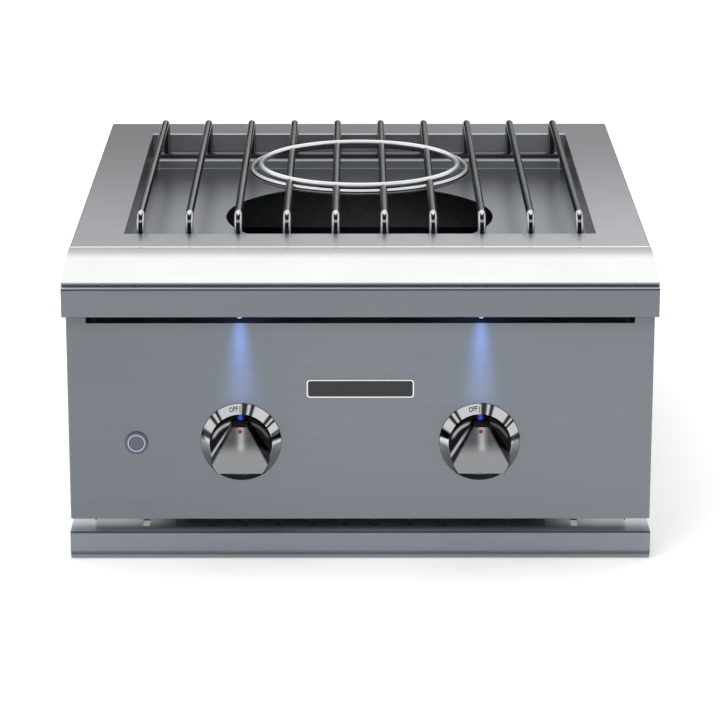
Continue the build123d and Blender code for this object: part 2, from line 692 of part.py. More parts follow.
def make_knob(side):
    """Polished knob: round base, wedge grip, and a flatted bore for the stem."""
    x = side * KNOB_X
    knob = rod_y(0, 0, -KNOB_BACK - KNOB_DISC, -KNOB_BACK, KNOB_R)
    knob = fillet(knob.faces().sort_by(Axis.Y)[0].edges(), SHEET)
    knob += make_knob_grip()
    knob -= marker_place() * Pos(0, 0, -MARKER_DEPTH / 2) * Cylinder(MARKER_R + FIT_GAP, MARKER_DEPTH)
    bore_end = STEM_REACH + PUSH_TRAVEL + RUN_GAP
    bore = rod_y(x, KNOB_Z, -bore_end, -KNOB_BACK, STEM_R + FIT_GAP) - stem_flat(x, FIT_GAP)
    return Pos(x, 0, KNOB_Z) * knob - bore


def make_knob_marker(side):
    """Red dot let into the top of a knob's face."""
    dot = marker_place() * Pos(0, 0, -MARKER_DEPTH / 2) * Cylinder(MARKER_R, MARKER_DEPTH)
    return Pos(side * KNOB_X, 0, KNOB_Z) * dot


def make_switch_body():
    """Push-button housing: round head in front of the panel, threaded barrel behind it."""
    bevel = SWITCH_HEAD / 3
    bore = CAP_R + 2 * FIT_GAP
    floor = CAP_LENGTH + CAP_TRAVEL + RUN_GAP - SWITCH_HEAD + CAP_RECESS
    body = spin_y(SWITCH_X, SWITCH_Z, [
        (0, floor), (bore, floor), (bore, -SWITCH_HEAD), (SWITCH_HEAD_R - bevel, -SWITCH_HEAD),
        (SWITCH_HEAD_R, bevel - SWITCH_HEAD), (SWITCH_HEAD_R, 0), (SWITCH_BARREL_R, 0),
        (SWITCH_BARREL_R, SWITCH_LENGTH), (0, SWITCH_LENGTH)])
    groove = rod_y(SWITCH_X, SWITCH_Z, -SWITCH_HEAD, LIGHT_RING_DEPTH - SWITCH_HEAD, LIGHT_RING_OUT)
    groove -= rod_y(SWITCH_X, SWITCH_Z, -SWITCH_HEAD, LIGHT_RING_DEPTH - SWITCH_HEAD, LIGHT_RING_IN)
    return body - groove


def make_light_ring():
    """Lit ring let into the head of the push button."""
    front = -SWITCH_HEAD
    back = LIGHT_RING_DEPTH - SWITCH_HEAD
    ring = rod_y(SWITCH_X, SWITCH_Z, front, back, LIGHT_RING_OUT - FIT_GAP)
    return ring - rod_y(SWITCH_X, SWITCH_Z, front, back, LIGHT_RING_IN + FIT_GAP)


def make_button_cap():
    """Cap of the push button, which travels into its housing."""
    front = CAP_RECESS - SWITCH_HEAD
    cap = rod_y(SWITCH_X, SWITCH_Z, front, front + CAP_LENGTH, CAP_R)
    return fillet(cap.faces().sort_by(Axis.Y)[0].edges(), CAP_RECESS)


def make_switch_nut():
    """Nut that clamps the push button to the panel."""
    nut = hex_y(SWITCH_X, SWITCH_Z, SHEET, SHEET + SWITCH_NUT, SWITCH_NUT_R)
    return nut - rod_y(SWITCH_X, SWITCH_Z, SHEET, SHEET + SWITCH_NUT, SWITCH_BARREL_R + FIT_GAP)


def make_lamp_strip():
    """Lamp strip that lies on the fascia's lower return."""
    z = FASCIA_BOTTOM + SHEET
    return slab(STRIP_LENGTH / 2, LAMP_Y - STRIP_WIDTH / 2, LAMP_Y + STRIP_WIDTH / 2, z, z + STRIP_THICK)


def make_lamp_lens(side):
    """Clear lens below the fascia."""
    top = FASCIA_BOTTOM + SHEET
    low = FASCIA_BOTTOM - LENS_DROP
    lens = rod_z(side * KNOB_X, LAMP_Y, low, top, LENS_R)
    return fillet(lens.faces().sort_by(Axis.Z)[0].edges(), LENS_DROP / 2)


def electrode_turn():
    """Place of the igniter on a circle about the burner, between tube and support."""
    return Pos(0, OPENING_Y, 0) * Rot(0, 0, 225)


def make_igniter_electrode():
    """Ceramic rod with a wire tip beside the outer burner ring."""
    low = BOX_UNDER - ELECTRODE_LENGTH / 2
    high = BOX_UNDER + ELECTRODE_LENGTH / 4
    rod = rod_z(ELECTRODE_OFFSET, 0, low, high, ELECTRODE_R)
    rod += rod_z(ELECTRODE_OFFSET, 0, BOX_UNDER, BOX_UNDER + SHEET, ELECTRODE_COLLAR_R)
    rod += rod_z(ELECTRODE_OFFSET, 0, high, high + SHEET, ELECTRODE_TIP_R)
    return electrode_turn() * rod


def make_igniter_bracket():
    """Strap below the burner box floor that holds the electrode."""
    half = IGNITER_STRAP / 2
    end = BOX_HOLE_R + IGNITER_STRAP
    strap = block(ELECTRODE_OFFSET - half, end, -half, half, BOX_UNDER - SHEET, BOX_UNDER)
    strap -= rod_z(ELECTRODE_OFFSET, 0, BOX_UNDER - SHEET, BOX_UNDER, ELECTRODE_R + FIT_GAP)
    return electrode_turn() * strap


def make_spark_module():
    """Spark generator on the front of the partition."""
    half = MODULE_WIDTH / 2
    front = PARTITION_Y - MODULE_DEPTH
    case = slab(half, front, PARTITION_Y, MODULE_Z, MODULE_Z + MODULE_HEIGHT)
    case = fillet(case.edges().filter_by(Axis.Y), FOLD_R)
    for side in SIDES.values():
        lead = rod_z(side * half / 2, front + MODULE_DEPTH / 2, MODULE_Z - FLANGE / 2, MODULE_Z, ELECTRODE_R)
        case += lead
    return case


def make_power_inlet():
    """Low-voltage socket for the lamps, in the back of the case."""
    x, z = INLET_JACK_X, INLET_JACK_Z
    inner = CASE_REAR - SHEET
    jack = rod_y(x, z, CASE_REAR, CASE_REAR + SHEET, INLET_JACK_FLANGE_R)
    jack += rod_y(x, z, inner - FLANGE, CASE_REAR, INLET_JACK_R)
    socket = rod_y(x, z, CASE_REAR - FLANGE / 2, CASE_REAR + SHEET, INLET_JACK_R / 2)
    return jack - socket


def make_bezel_screws():
    """Screws from behind the panel into the bezels."""
    screws = []
    for x, z in bezel_screw_places():
        head = rod_y(x, z, SHEET, SHEET + SCREW_HEAD, SCREW_HEAD_R)
        screws.append(head + rod_y(x, z, SHEET - BEZEL_FLOOR + FIT_GAP, SHEET, SCREW_R))
    return Compound(children=screws)


def make_panel_screws():
    """Screws that hold the panel's side folds to the case."""
    screws = []
    seat = PANEL_RETURN + SHEET
    for side in SIDES.values():
        for z in panel_screw_heights():
            x = side * panel_screw_x()
            head = rod_y(x, z, seat, seat + SCREW_HEAD, SCREW_HEAD_R)
            screws.append(head + rod_y(x, z, PANEL_RETURN - 2 * SHEET, seat, SCREW_R))
    return Compound(children=screws)


def make_grate_rod(index):
    """Bent rod, coped onto the cross bars and notched where the wok rings pass."""
    x = ROD_PITCH * (index - (ROD_COUNT - 1) / 2)
    foot = CROSS_BAR_Z + ROD_R / 2
    path = FilletPolyline((x, ROD_FRONT, foot), (x, ROD_FRONT, ROD_Z), (x, ROD_REAR, ROD_Z),
                          (x, ROD_REAR, foot), radius=ROD_BEND)
    rod = sweep(Plane(origin=path @ 0, z_dir=path % 0) * Circle(ROD_R), path)
    for y in (ROD_FRONT, ROD_REAR):
        rod -= rod_x(y, CROSS_BAR_Z, x - 2 * ROD_R, x + 2 * ROD_R, ROD_R + FIT_GAP)
    rod -= ring_seat(INNER_WOK_R, INNER_WOK_Z - WIRE_R - FIT_GAP, ROD_Z + 2 * ROD_R)
    return rod - ring_seat(OUTER_WOK_R, ROD_Z - 2 * ROD_R, OUTER_WOK_Z + WIRE_R + FIT_GAP)


def ring_seat(ring_r, z0, z1):
    """Round groove that lets a wok ring into the rods."""
    half = WIRE_R + FIT_GAP
    return rod_z(0, OPENING_Y, z0, z1, ring_r + half) - rod_z(0, OPENING_Y, z0, z1, ring_r - half)


def make_grate_cross_bars():
    """Two bars below the rod ends, which rest on the ledge of the pan."""
    half = OPEN_HALF - CROSS_BAR_GAP
    return Compound(children=[rod_x(y, CROSS_BAR_Z, -half, half, ROD_R) for y in (ROD_FRONT, ROD_REAR)])


def make_drip_tray():
    """Sliding tray: front with a hemmed lip, slotted top flange, basin, and wings on the runners."""
    half = DECK_HALF - TRAY_INSET
    under = TRAY_TOP - SHEET
    back = TRAY_FLANGE - TRAY_FRONT
    front = -TRAY_FRONT
    hem = front + LIP_STEP
    rear = front + LIP_DEPTH
    corners = [(front, TRAY_TOP), (front, LIP_TOP), (hem, LIP_TOP - LIP_SLOPE), (hem, LIP_BOTTOM),
               (rear, LIP_BOTTOM), (rear, LIP_TOP), (front + SHEET, LIP_TOP), (front + SHEET, TRAY_TOP)]
    tray = extrude(Plane.YZ * make_face(Polyline(corners, close=True)), half, both=True)
    tray += slab(half, front, back, under, TRAY_TOP)
    long_edges = tray.edges().filter_by(Axis.X).group_by(Axis.Z)
    tray = fillet(long_edges[0].sort_by(Axis.Y)[0], LIP_R)
    long_edges = tray.edges().filter_by(Axis.X).group_by(Axis.Z)
    tray = fillet(long_edges[-1].sort_by(Axis.Y)[0], FOLD_R)
    slot_half = TRAY_SLOT_WIDTH / 2
    for i in range(TRAY_SLOTS):
        x = TRAY_SLOT_PITCH * (i - (TRAY_SLOTS - 1) / 2)
        end = TRAY_SLOT_Y + TRAY_SLOT_LENGTH
        tray -= block(x - slot_half, x + slot_half, TRAY_SLOT_Y, end, under, TRAY_TOP)
    wing_z = RUNNER_TOP + RUN_GAP
    basin = slab(BASIN_HALF, back - SHEET, BASIN_REAR, BASIN_FLOOR, wing_z + SHEET)
    basin += slab(BASIN_HALF, back - SHEET, back, BASIN_FLOOR, TRAY_TOP)
    basin += slab(CASE_INNER - WING_GAP, RAIL_FRONT, BASIN_REAR, wing_z, wing_z + SHEET)
    basin -= slab(BASIN_HALF - SHEET, back, BASIN_REAR - SHEET, BASIN_FLOOR + SHEET, TRAY_TOP)
    return tray + basin


def all_parts():
    """Each node's name and solid."""
    parts = {
        "top_deck": make_top_deck(),
        "front_nose": make_front_nose(),
        "fascia": make_fascia(),
        "control_panel": make_control_panel(),
        "rear_panel": make_rear_panel(),
        "front_partition": make_front_partition(),
        "burner_pan": make_burner_pan(),
        "burner_box": make_burner_box(),
        "burner_outer_ring": make_burner_ring(OUTER_RING_R, OUTER_PORTS),
        "burner_inner_ring": make_burner_ring(INNER_RING_R, INNER_PORTS),
        "burner_support": make_burner_support(),
        "outer_mixing_tube": make_mixing_tube(-1, -OUTER_RING_R),
        "inner_mixing_tube": make_mixing_tube(1, INNER_RING_R),
        "gas_manifold": make_gas_manifold(),
        "manifold_plug": make_manifold_plug(),
        "manifold_bracket": make_manifold_bracket(),
        "gas_inlet_fitting": make_gas_inlet_fitting(),
        "switch_body": make_switch_body(),
        "light_ring": make_light_ring(),
        "button_cap": make_button_cap(),
        "switch_nut": make_switch_nut(),
        "lamp_strip": make_lamp_strip(),
        "igniter_electrode": make_igniter_electrode(),
        "igniter_bracket": make_igniter_bracket(),
        "spark_module": make_spark_module(),
        "power_inlet": make_power_inlet(),
        "bezel_screws": make_bezel_screws(),
        "panel_screws": make_panel_screws(),
        "grate_side_rods": Compound(children=[make_grate_rod(i) for i in SIDE_RODS]),
        "grate_cross_bars": make_grate_cross_bars(),
        "wok_ring_inner": make_wok_ring(INNER_WOK_R, INNER_WOK_Z),
        "wok_ring_outer": make_wok_ring(OUTER_WOK_R, OUTER_WOK_Z),
        "drip_tray": make_drip_tray(),
    }
    for i in MIDDLE_RODS:
        parts["grate_rod_" + str(i + 1)] = make_grate_rod(i)
    for name, side in SIDES.items():
        parts[name + "_side_panel"] = make_side_panel(side)
        parts[name + "_base_rail"] = make_base_rail(side)
        parts[name + "_air_shutter"] = make_air_shutter(side)
        parts[name + "_orifice"] = make_orifice(side)
        parts[name + "_valve_body"] = make_valve_body(side)
        parts[name + "_valve_stem"] = make_valve_stem(side)
        parts[name + "_bezel"] = make_bezel(side)
        parts[name + "_knob"] = make_knob(side)
        parts[name + "_knob_marker"] = make_knob_marker(side)
        parts[name + "_lamp_lens"] = make_lamp_lens(side)
    return parts


os.makedirs("parts", exist_ok=True)
for node, solid in all_parts().items():
    export_step(Pos(0, FRAME_SHIFT, 0) * solid, "parts/" + node + ".step")
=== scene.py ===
import json
import math

import bpy
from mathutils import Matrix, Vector


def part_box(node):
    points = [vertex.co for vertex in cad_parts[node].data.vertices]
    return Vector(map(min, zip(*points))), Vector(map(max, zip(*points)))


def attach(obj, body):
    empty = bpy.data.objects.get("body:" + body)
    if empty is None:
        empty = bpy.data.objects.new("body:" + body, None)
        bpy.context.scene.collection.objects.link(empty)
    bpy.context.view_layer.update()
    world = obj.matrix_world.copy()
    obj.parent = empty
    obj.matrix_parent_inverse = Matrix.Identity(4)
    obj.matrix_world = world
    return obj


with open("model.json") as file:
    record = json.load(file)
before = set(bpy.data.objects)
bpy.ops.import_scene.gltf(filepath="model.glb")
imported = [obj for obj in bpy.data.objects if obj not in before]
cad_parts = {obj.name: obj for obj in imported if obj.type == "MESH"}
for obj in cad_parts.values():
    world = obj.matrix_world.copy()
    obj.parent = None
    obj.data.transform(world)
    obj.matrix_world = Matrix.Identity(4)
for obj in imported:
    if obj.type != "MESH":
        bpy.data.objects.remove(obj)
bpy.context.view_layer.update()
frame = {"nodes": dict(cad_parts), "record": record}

# Camera, in metres and degrees, with lens and sensor in millimetres
CAMERA_PLACE = (-0.0068, -3.1553, 1.0339)
CAMERA_PITCH = 16.35
CAMERA_YAW = -0.13
CAMERA_LENS = 155.7
CAMERA_SENSOR = 36.0

# Floor, in metres: its lift is the light that it adds for the camera and for reflections, left out under the
# object as painted shade
FLOOR_SIZE = 40.0
FLOOR_COLOR = (0.86, 0.86, 0.86)
FLOOR_SCALE = 0.8
FLOOR_SWING = (0.995, 1.0)
FLOOR_LIFT = 0.28
FLOOR_FAR_LIFT = 0.55
FLOOR_FAR = (1.2, 4.0)
UNDER_SIDES = (0.195, 0.175)
UNDER_FRONT = (0.006, 0.016)
UNDER_REAR = (0.335, 0.325)

# Lamps, surround and studio cards: a card has a grey level at each share of its height
WORLD_FILL = 0.62
LAMP_AIM = (0.0, 0.0, 0.15)
KEY_PLACE = (-1.2, -1.6, 2.6)
KEY_SIZE = 2.2
KEY_POWER = 42.0
TOP_PLACE = (0.3, 0.6, 2.8)
TOP_SIZE = 2.4
TOP_POWER = 34.0
CARD_WIDTH = 16.0
REAR_CARD_Y = 5.0
REAR_CARD_HEIGHT = 3.6
REAR_CARD_LEVELS = [(0.0, 0.01), (0.33, 0.03), (0.44, 0.50), (0.56, 0.58), (0.75, 1.0)]
FRONT_CARD_Y = -7.0
FRONT_CARD_HEIGHT = 7.0
FRONT_CARD_LEVELS = [(0.0, 0.02), (0.16, 0.03), (0.24, 0.50), (0.40, 0.50), (0.48, 0.22),
                     (0.66, 0.30), (1.0, 0.8)]

# Places read from the frame, in metres
PANEL_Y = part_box("control_panel")[0][1]
KNOB_X = (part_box("right_bezel")[0][0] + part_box("right_bezel")[1][0]) / 2
KNOB_Z = (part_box("right_bezel")[0][2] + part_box("right_bezel")[1][2]) / 2
BUTTON_X = (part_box("light_ring")[0][0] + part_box("light_ring")[1][0]) / 2
BUTTON_Z = (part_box("light_ring")[0][2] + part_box("light_ring")[1][2]) / 2
BEAM_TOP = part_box("fascia")[0][2]
DECK_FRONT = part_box("top_deck")[0][1]
PAN_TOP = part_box("burner_pan")[1][2]
TRAY_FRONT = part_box("drip_tray")[0][1]
ROD_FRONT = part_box("grate_rod_4")[0][1]
ROD_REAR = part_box("grate_rod_4")[1][1]
RING_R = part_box("wok_ring_outer")[1][0]

# Pairs below are ranges over which a look fades in. For a surface direction they give its part along an axis.
FACING = (0.7, 0.9)
FACING_FRONT = (-0.7, -0.9)
FOLD_UP = (0.15, 0.40)
FOLD_FRONT = (-0.15, -0.40)

# Colours, and the noise scale of a brushed grain along X, Y and Z. SHEET_COLOR and TRAY_COLOR are steel like
# the deck's, set far darker as painted shade
SHEET_COLOR = (0.192, 0.212, 0.233)
TRAY_COLOR = (0.280, 0.306, 0.338)
DECK_COLOR = (0.70, 0.715, 0.745)
PAN_COLOR = (0.53, 0.565, 0.60)
ROD_COLOR = (0.78, 0.79, 0.81)
WIRE_COLOR = (0.90, 0.91, 0.92)
CHROME = (0.66, 0.67, 0.69)
# Colour of the painted highlights and painted light that glow on the deck, pan and tray
PAINTED_LIGHT_WHITE = (0.95, 0.97, 1.0)
ACROSS = (6.0, 1400.0, 1400.0)
ALONG_Y = (1400.0, 6.0, 1400.0)
SHEET_ROUGHNESS = 0.36
SHEET_SWING = 0.08

# Skins: noise scales, swings of colour and roughness, and bumps as a strength and a depth in metres
LINE_SHARE = 0.75
PATCH_SCALE = 3.0
BRUSH_ROUGH = (0.8, 1.2)
BRUSH_BUMP = (0.08, 0.0002)
HAZE_SCALE = 14.0
HAZE_ROUGH = (0.7, 1.4)
FINE_SCALE = 900.0
FINE_BUMP = (0.02, 0.00005)
PEBBLE_SWING = (0.8, 1.2)
PEBBLE_ROUGH = (0.85, 1.15)
PEBBLE_BUMP = (0.25, 0.0003)
CLOUD_SCALE = 300.0
CLOUD_SWING = (0.9, 1.05)

# Deck and pan, in metres: painted shade on the side walls, and painted highlights that glow along the front
# seam, the folds and the top of the pan's back wall
DECK_SIDES = (-0.28, 0.28)
DECK_INSIDE = (0.270, 0.265)
SIDE_WALL_SHADE = 0.45
SEAM_BACK = 0.0005
SEAM_WIDTH = 0.0016
SEAM_PAINTED_HIGHLIGHT = 0.80
FOLD_RADIUS = 0.0011
FOLD_PAINTED_HIGHLIGHT = 0.30
PAN_LINE_DROP = 0.0016
PAN_LINE_WIDTH = 0.0010
PAN_LINE_PAINTED_HIGHLIGHT = 0.35

# Fascia: painted reflection levels by how far its round top edge faces up, and the level of its flat front
FASCIA_FLAT = 0.30
FASCIA_PAINTED_BANDS = [(0.03, FASCIA_FLAT), (0.06, 0.50), (0.09, 0.45), (0.12, 0.02), (0.34, 0.02),
                 (0.42, 0.70), (1.0, 0.80)]

# Drip tray: painted shade levels of the hem by height in units of 10 mm, and places behind its front in
# metres; the bend is painted shade and the top flange's ends painted light
TRAY_FLAT = 0.6
TRAY_ROUGHNESS = 0.5
HEM_SCALE = 100.0
HEM_SHADE_LEVELS = [(0.0, 0.55), (0.42, 0.60), (0.50, 0.28), (0.70, 0.30), (1.0, TRAY_FLAT)]
HEM_REAR = (0.012, 0.010)
FLANGE_ENDS = (0.165, 0.240)
FLANGE_START = (0.004, 0.034)
FLANGE_STOP = (0.075, 0.055)
FLANGE_PAINTED_LIGHT = 0.34
FLANGE_ROUGHNESS = 0.35
FLANGE_METALLIC = 0.5
LIP_REAR = (0.050, 0.040)
LIP_SHADE = 0.30
LIP_TOP = (0.99, 0.90)

# Grate: painted reflection and shade levels round a rod and round the rings, and the lengths of the bends in
# metres
ROD_PAINTED_STREAK = [(0.0, 0.01), (0.16, 0.03), (0.28, 0.22), (0.50, 0.55), (0.68, 1.0), (0.76, 0.9),
              (0.82, 0.04), (1.0, 0.01)]
BEND_PAINTED_SPOTS = [(0.0, 0.02), (0.34, 0.02), (0.40, 0.5), (0.48, 0.5), (0.54, 0.02), (0.76, 0.02), (0.86, 1.0)]
ROD_METALLIC = 0.7
ROD_SHINE = 0.1
ROD_TINT = (0.30, 0.30, 0.31)
BEND_FRONT = (0.0145, 0.0125)
BEND_REAR = (0.0125, 0.0105)
BEND_CORE = (0.62, 0.42)
BEND_RIM_HIGHLIGHT = 0.85
LEG_EDGE = (0.45, 0.60)
LEG_SHADE_LEVELS = (0.05, 0.35)
WIRE_METALLIC = 0.5
UPPER_RING_PAINTED_BANDS = [(0.3, 0.2), (0.50, 0.3), (0.62, 0.9), (0.80, 1.0), (0.86, 0.45), (0.90, 1.0)]
LOWER_RING_PAINTED_BANDS = [(0.3, 0.2), (0.46, 0.6), (0.52, 0.6), (0.56, 0.02), (0.72, 0.02), (0.76, 0.8), (0.88, 0.9),
              (0.93, 0.4), (0.98, 1.0)]
RING_ENDS = (0.72, 1.0)
RING_END_SHADE = 0.50

# Painted pool of light below each lamp under the fascia, painted shade below the fascia and to the panel's
# left, and the lit ring of the push button
BEAM_LENGTH = 0.1
BEAM_START = 0.0043
BEAM_SPREAD = 0.13
BEAM_FALL = [(0.0, 0.32), (0.18, 0.52), (0.28, 0.50), (0.50, 0.31), (0.80, 0.19), (1.0, 0.0)]
BEAM_COLOR = (0.15, 0.32, 1.0)
BEAM_END_COLOR = (0.38, 0.44, 1.0)
BEAM_TINT = (0.4, 0.9)
EAVES_SHADE = (0.002, 0.020)
EAVES_LEVEL = 0.84
PANEL_LEFT = (-0.26, 0.0)
PANEL_SHADE_LEVELS = (0.92, 1.04)
BUTTON_RING_COLOR = (0.10, 0.105, 0.12)
RING_GLOW = 0.9
RING_LINE_R = 0.0076
RING_LINE_WIDTH = 0.0008
RING_LINE_COLOR = (0.52, 0.56, 0.92)

# Knobs, in metres, with painted shade, highlights and reflections: sides and heights are measured from the
# knob's axis, reach from the panel to the front, and an arc's start and stop from the top, in radians
BASE_REACH = (0.0130, 0.0122)
GRIP_REACH = (0.0125, 0.0140)
GRIP_UP = (0.14, 0.24)
GRIP_NOT_TOP = (0.60, 0.45)
GRIP_FRONT = (-0.6, -0.8)
GRIP_SHADE_LEVEL = 0.30
GRIP_SHADE = (0.011, -0.004)
STREAK_SIDE = 0.0010
STREAK_WIDTH = 0.0034
STREAK_HEIGHT = (-0.002, 0.006)
KNOB_DARKEST = 0.012
ARC_R = 0.0225
ARC_OPENING = 0.0037
ARC_WIDTH = 0.0014
ARC_START = (0.17, 0.45)
ARC_STOP = (1.40, 1.15)
ARC_SIDE = (0.004, -0.004)
ARC_LEVELS = (0.12, 0.50)
GLINT_COLOR = (0.10, 0.14, 1.0)
GLINT_STRENGTH = 0.55
GLINT_WIDTH = 0.0020
GLINT_HEIGHT = (0.0205, 0.0225)
FLANK_REACH = 0.0185
FLANK_WIDTH = 0.0035
FLANK_HEIGHT = (0.022, 0.004)
FLANK_LEFT = (-0.60, -0.75)
FLANK_UP = (0.30, 0.45)
FLANK_COLOR = (0.92, 0.95, 1.0)
FLANK_TINT = (0.0, 0.1)
FLANK_STRENGTH = 0.55

# Bezels, in metres: painted dark reflection streaks are given by angle from the top and half width, in
# degrees; the rim, the bore and the knob's shadow below are painted shade
BEZEL_R = 0.0388
BEZEL_LIP_R = 0.0304
BEZEL_BORE_R = 0.0298
BEZEL_DEPTH = 0.0086
BEZEL_REFLECTION_STREAKS = [(-74, 6.0), (-48, 3.0), (-38, 2.5), (6, 4.5), (18, 3.0), (48, 3.0), (56, 2.0), (80, 5.0)]
STREAK_EDGE = (0.5, 1.5)
STREAK_LEVEL = 0.06
BEZEL_UPPER = (-0.012, 0.004)
BEZEL_LEVELS = (0.45, 0.86)
BORE_SHADE = 0.03
RIM_IN = (0.0008, 0.0004)
RIM_LEVEL = 0.15
KNOB_SHADOW = (-0.0315, -0.0285)
KNOB_SHADOW_LEVEL = 0.02

# Burner box: painted shade on its floor
WELL_COLOR = (0.14, 0.145, 0.16)
WELL_WALL = (0.8, 0.2)
WELL_FLOOR_SHADE = 0.02

# Marks on the bezels, in metres: the word is turned in degrees from the top and the line in radians
MARK_LIFT = 0.00012
OFF_SIZE = 0.0074
OFF_WEIGHT = 0.00014
OFF_CURVE_STEPS = 3
OFF_NARROW = 0.66
OFF_TURN = -11.2
OFF_RISE = 0.0034
TICK_HALF = 0.0004
TICK_TURN = -0.02
TICK_RISE = (0.0012, 0.0085)

# Blank plate on the panel, in metres: front and back are measured from the panel
PLATE_Z = 0.1715
PLATE_WIDTH = 0.1025
PLATE_HEIGHT = 0.0179
PLATE_RIM = 0.0013
PLATE_CORNER = 0.003
PLATE_FACE_CORNER = 0.0022
PLATE_RIM_REACH = (0.0010, 0.00002)
PLATE_FACE_REACH = (0.0014, 0.0011)
CORNER_STEPS = 6


class Shader:
    """A material with short ways to add and join its nodes."""

    def __init__(self, name, metallic=0.0, roughness=0.5):
        self.material = bpy.data.materials.new(name)
        self.material.use_nodes = True
        self.tree = self.material.node_tree
        self.main = self.tree.nodes["Principled BSDF"]
        self.set("Metallic", metallic)
        self.set("Roughness", roughness)

    def set(self, socket, value):
        """Give one of the shader's own sockets a fixed value."""
        self.main.inputs[socket].default_value = value

    def feed(self, socket, output):
        """Join a node's output to one of the shader's own sockets."""
        self.join(output, self.main.inputs[socket])

    def source(self, socket):
        """The output that feeds one of the shader's own sockets."""
        return self.main.inputs[socket].links[0].from_socket

    def add(self, kind, settings=None, **sockets):
        """A new node, with its settings and the values of its sockets."""
        node = self.tree.nodes.new(kind)
        for key, value in (settings or {}).items():
            setattr(node, key, value)
        for key, value in sockets.items():
            node.inputs[key.replace("_", " ")].default_value = value
        return node

    def join(self, start, end):
        self.tree.links.new(start, end)

    def noise(self, stretch, detail):
        """Noise in the object's own metres, with its own scale along X, Y and Z."""
        place = self.add("ShaderNodeTexCoord")
        scale = self.add("ShaderNodeMapping", Scale=stretch)
        noise = self.add("ShaderNodeTexNoise", Scale=1.0, Detail=detail)
        self.join(place.outputs["Object"], scale.inputs["Vector"])
        self.join(scale.outputs["Vector"], noise.inputs["Vector"])
        return noise.outputs["Fac"]

    def ramp(self, factor, first, second, start=0.3, end=0.7):
        """Blend from one colour to another as the factor goes from start to end."""
        ramp = self.add("ShaderNodeValToRGB")
        ramp.color_ramp.elements[0].position = start
        ramp.color_ramp.elements[0].color = (*first, 1.0)
        ramp.color_ramp.elements[1].position = end
        ramp.color_ramp.elements[1].color = (*second, 1.0)
        self.join(factor, ramp.inputs["Fac"])
        return ramp.outputs["Color"]

    def levels(self, value, stops):
        """Grey level that blends between stops, each a value from 0 to 1 and its level."""
        ramp = self.add("ShaderNodeValToRGB")
        while len(ramp.color_ramp.elements) < len(stops):
            ramp.color_ramp.elements.new(0.5)
        for element, (place, level) in zip(ramp.color_ramp.elements, stops):
            element.position = place
            element.color = (level, level, level, 1.0)
        self.join(value, ramp.inputs["Fac"])
        return ramp.outputs["Color"]

    def spread(self, factor, first, second):
        """Map a factor from 0..1 to a range."""
        spread = self.add("ShaderNodeMapRange", To_Min=first, To_Max=second)
        self.join(factor, spread.inputs["Value"])
        return spread.outputs["Result"]

    def fade(self, value, start, end):
        """Smooth step from 0 at start to 1 at end."""
        settings = {"interpolation_type": "SMOOTHSTEP"}
        fade = self.add("ShaderNodeMapRange", settings, From_Min=start, From_Max=end)
        self.join(value, fade.inputs["Value"])
        return fade.outputs["Result"]

    def math(self, operation, first, second=0.0):
        """Result of a sum on two numbers or outputs."""
        node = self.add("ShaderNodeMath", {"operation": operation})
        for socket, value in zip(node.inputs, (first, second)):
            if isinstance(value, (int, float)):
                socket.default_value = value
            else:
                self.join(value, socket)
        return node.outputs["Value"]

    def product(self, first, *others):
        for other in others:
            first = self.math("MULTIPLY", first, other)
        return first

    def plus(self, first, second):
        return self.math("ADD", first, second)

    def minus(self, first, second):
        return self.math("SUBTRACT", first, second)

    def size(self, value):
        return self.math("ABSOLUTE", value)

    def length(self, first, second):
        """Distance from the middle for two distances at right angles."""
        squares = self.plus(self.product(first, first), self.product(second, second))
        return self.math("SQRT", squares)

    def centred(self, value):
        """Map a part of a surface direction from -1..1 to 0..1."""
        return self.plus(self.product(value, 0.5), 0.5)

    def hill(self, value, width):
        """Bell curve that is 1 where the value is 0."""
        ratio = self.math("DIVIDE", value, width)
        return self.math("POWER", math.e, self.product(ratio, ratio, -1.0))

    def blend(self, factor, first, second):
        """The first value where the factor is 0, and the second where it is 1."""
        return self.plus(first, self.product(self.minus(second, first), factor))

    def parts(self, output="Object"):
        """X, Y and Z of the object's own place, or of its own surface direction."""
        place = self.add("ShaderNodeTexCoord")
        split = self.add("ShaderNodeSeparateXYZ")
        self.join(place.outputs[output], split.inputs["Vector"])
        return split.outputs["X"], split.outputs["Y"], split.outputs["Z"]

    def from_knob(self):
        """Sideways and upward distance from the nearer knob's axis."""
        x, y, z = self.parts()
        axis = self.product(self.math("SIGN", x), KNOB_X)
        return self.minus(x, axis), self.minus(z, KNOB_Z)

    def front_folds(self, radius):
        """1 along each fold between a face that looks up and one that looks to the front, 0 elsewhere."""
        soft = self.add("ShaderNodeBevel", Radius=radius)
        split = self.add("ShaderNodeSeparateXYZ")
        self.join(soft.outputs["Normal"], split.inputs["Vector"])
        front = self.fade(split.outputs["Y"], *FOLD_FRONT)
        return self.product(front, self.fade(split.outputs["Z"], *FOLD_UP))

    def darken(self, factor):
        """Multiply the base colour by a factor."""
        scale = self.add("ShaderNodeVectorMath", {"operation": "SCALE"})
        self.join(self.source("Base Color"), scale.inputs["Vector"])
        self.join(factor, scale.inputs["Scale"])
        self.feed("Base Color", scale.outputs["Vector"])

    def glow(self, color, strength):
        """Light of one colour, with a strength from a node."""
        self.set("Emission Color", (*color, 1.0))
        self.feed("Emission Strength", strength)

    def tint(self, factor, color, swing):
        """Blend between a darker and a lighter colour, each the colour times a part of the swing."""
        return self.ramp(factor, shade(color, swing[0]), shade(color, swing[1]))

    def roughen(self, factor, roughness, swing):
        """Roughness that varies between the two parts of the swing, each times the roughness."""
        self.feed("Roughness", self.spread(factor, roughness * swing[0], roughness * swing[1]))

